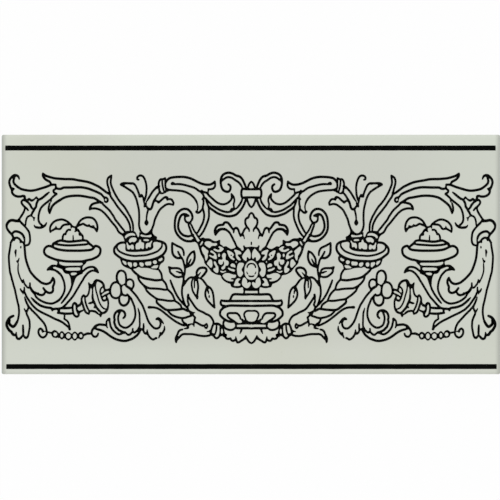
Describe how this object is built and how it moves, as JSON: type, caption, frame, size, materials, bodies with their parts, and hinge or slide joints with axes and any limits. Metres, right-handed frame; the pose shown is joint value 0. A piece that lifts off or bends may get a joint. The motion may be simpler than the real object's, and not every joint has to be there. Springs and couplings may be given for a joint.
{
  "type": "ceramic accent tile",
  "caption": "Rectangular glazed ceramic wall tile with softly rounded face edges, a printed line-drawn scroll-and-urn frieze between two bands, and keying grooves on the back.",
  "frame": {"origin": "middle of the tile's back, on the plane of its ribs", "axes": "+X along the tile's length, +Y across it towards the top of the printed pattern, +Z out of the glazed face"},
  "size_m": [0.2496, 0.1198, 0.008],
  "materials": {
    "glazed_body": "satin"
  },
  "bodies": {
    "root": {"tile": "glazed_body"}
  },
  "joints": []
}
